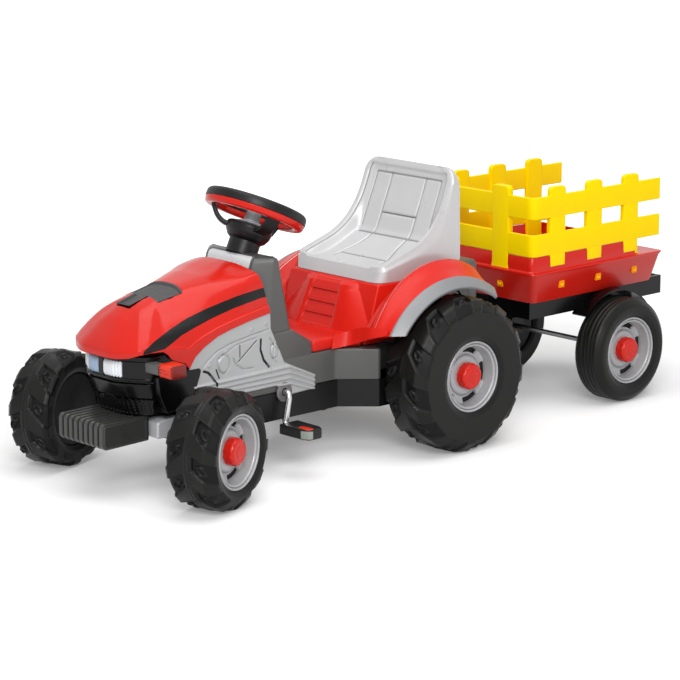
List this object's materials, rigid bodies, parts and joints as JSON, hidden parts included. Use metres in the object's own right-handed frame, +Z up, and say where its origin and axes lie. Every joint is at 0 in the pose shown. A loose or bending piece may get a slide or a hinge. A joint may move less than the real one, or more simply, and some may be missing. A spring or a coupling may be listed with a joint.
{
  "type": "ride on tractor toy",
  "caption": "Pedal tractor toy with a bucket seat, steered front wheels, chain drive and a fenced two-wheel trailer.",
  "frame": {"origin": "on the ground below the middle of the whole length and width, tractor and trailer together", "axes": "+X forward along the tractor, +Y to the rider's left, +Z up"},
  "size_m": [1.351, 0.5606, 0.492],
  "materials": {
    "red_plastic": "glossy moulded red plastic",
    "grey_plastic": "metallic dark grey moulded plastic",
    "silver_plastic": "silver moulded plastic",
    "black_plastic": "black moulded plastic",
    "tyre_plastic": "blow-moulded black plastic tyre",
    "yellow_plastic": "glossy yellow moulded plastic",
    "clear_lens": "clear moulded lamp lens",
    "amber_lens": "orange-red moulded lamp lens",
    "chrome_rod": "bright plated steel rod",
    "steel": "plain steel"
  },
  "bodies": {
    "tractor": {"chassis": "black_plastic", "body_shell": "grey_plastic", "dash_cowl": "grey_plastic", "hood": "red_plastic", "hood_vent": "black_plastic", "engine_panel_left": "silver_plastic", "engine_panel_right": "silver_plastic", "nose": "black_plastic", "headlamps": "clear_lens", "signal_arm": "grey_plastic", "signal_lens": "amber_lens", "front_weight": "grey_plastic", "front_axle_box": "grey_plastic", "seat_base": "red_plastic", "fender_trim_left": "grey_plastic", "fender_trim_right": "grey_plastic", "seat": "silver_plastic", "seat_screws": "steel", "drive_chain": "steel", "axle_bushes": "grey_plastic", "hitch_pin": "steel"},
    "steering": {"steering_column": "steel", "steering_wheel_rim": "black_plastic", "steering_wheel_ring": "red_plastic", "steering_wheel_spider": "black_plastic", "steering_wheel_pad": "grey_plastic"},
    "left_knuckle": {"knuckle_left": "steel"},
    "right_knuckle": {"knuckle_right": "steel"},
    "track_rod": {"tie_rod": "steel"},
    "front_left_wheel": {"front_left_tyre": "tyre_plastic", "front_left_rim": "silver_plastic", "front_left_cap": "red_plastic"},
    "front_right_wheel": {"front_right_tyre": "tyre_plastic", "front_right_rim": "silver_plastic", "front_right_cap": "red_plastic"},
    "crank": {"crankshaft": "chrome_rod", "drive_sprocket": "steel"},
    "left_pedal": {"pedal_left": "grey_plastic", "pedal_left_reflectors": "amber_lens"},
    "right_pedal": {"pedal_right": "grey_plastic", "pedal_right_reflectors": "amber_lens"},
    "rear_drive": {"rear_axle": "steel", "driven_sprocket": "steel", "rear_left_tyre": "tyre_plastic", "rear_left_rim": "silver_plastic", "rear_left_cap": "red_plastic"},
    "rear_right_wheel": {"rear_right_tyre": "tyre_plastic", "rear_right_rim": "silver_plastic", "rear_right_cap": "red_plastic"},
    "trailer": {"trailer_chassis": "black_plastic", "trailer_drawbar": "black_plastic", "trailer_tray": "red_plastic", "trailer_fence": "yellow_plastic", "trailer_axle": "steel"},
    "trailer_left_wheel": {"trailer_left_tyre": "tyre_plastic", "trailer_left_rim": "silver_plastic", "trailer_left_cap": "red_plastic"},
    "trailer_right_wheel": {"trailer_right_tyre": "tyre_plastic", "trailer_right_rim": "silver_plastic", "trailer_right_cap": "red_plastic"}
  },
  "joints": [
    {"name": "steering_turn", "type": "hinge", "parent": "tractor", "child": "steering", "pos_m": [0.27814, 0, 0.446], "axis": [-0.4226, 0, 0.9063], "range_deg": [-42.6, 7.4]},
    {"name": "left_knuckle_turn", "type": "hinge", "parent": "tractor", "child": "left_knuckle", "pos_m": [0.55314, 0.18, 0.102], "axis": [0, 0, 1], "range_deg": [-42.6, 7.4]},
    {"name": "right_knuckle_turn", "type": "hinge", "parent": "tractor", "child": "right_knuckle", "pos_m": [0.55314, -0.18, 0.102], "axis": [0, 0, 1], "range_deg": [-42.6, 7.4]},
    {"name": "track_rod_turn", "type": "hinge", "parent": "left_knuckle", "child": "track_rod", "pos_m": [0.51501, 0.1679, 0.085], "axis": [0, 0, 1], "range_deg": [-7.4, 42.6]},
    {"name": "front_left_roll", "type": "hinge", "parent": "left_knuckle", "child": "front_left_wheel", "pos_m": [0.54407, 0.2086, 0.102], "axis": [-0.3024, 0.9532, 0], "continuous": true},
    {"name": "front_right_roll", "type": "hinge", "parent": "right_knuckle", "child": "front_right_wheel", "pos_m": [0.56221, -0.2086, 0.102], "axis": [-0.3024, 0.9532, 0], "continuous": true},
    {"name": "rear_drive_roll", "type": "hinge", "parent": "tractor", "child": "rear_drive", "pos_m": [-0.02086, 0, 0.14], "axis": [0, 1, 0], "continuous": true},
    {"name": "crank_turn", "type": "hinge", "parent": "tractor", "child": "crank", "pos_m": [0.30014, 0, 0.14], "axis": [0, 1, 0], "continuous": true},
    {"name": "left_pedal_turn", "type": "hinge", "parent": "crank", "child": "left_pedal", "pos_m": [0.3122, 0.158, 0.08327], "axis": [0, 1, 0], "continuous": true},
    {"name": "right_pedal_turn", "type": "hinge", "parent": "crank", "child": "right_pedal", "pos_m": [0.28808, -0.158, 0.19673], "axis": [0, 1, 0], "continuous": true},
    {"name": "rear_right_roll", "type": "hinge", "parent": "tractor", "child": "rear_right_wheel", "pos_m": [-0.02086, -0.202, 0.14], "axis": [0, 1, 0], "continuous": true},
    {"name": "trailer_yaw", "type": "hinge", "parent": "tractor", "child": "trailer", "pos_m": [-0.18586, 0, 0.171], "axis": [0, 0, 1], "range_deg": [-40, 40]},
    {"name": "trailer_left_roll", "type": "hinge", "parent": "trailer", "child": "trailer_left_wheel", "pos_m": [-0.51386, 0.159, 0.1015], "axis": [0, 1, 0], "continuous": true},
    {"name": "trailer_right_roll", "type": "hinge", "parent": "trailer", "child": "trailer_right_wheel", "pos_m": [-0.51386, -0.159, 0.1015], "axis": [0, 1, 0], "continuous": true}
  ],
  "couplings": [
    {"joint": "left_knuckle_turn", "follows": "steering_turn", "ratio": 1},
    {"joint": "right_knuckle_turn", "follows": "steering_turn", "ratio": 1},
    {"joint": "track_rod_turn", "follows": "steering_turn", "ratio": -1},
    {"joint": "crank_turn", "follows": "rear_drive_roll", "ratio": 0.66667}
  ]
}
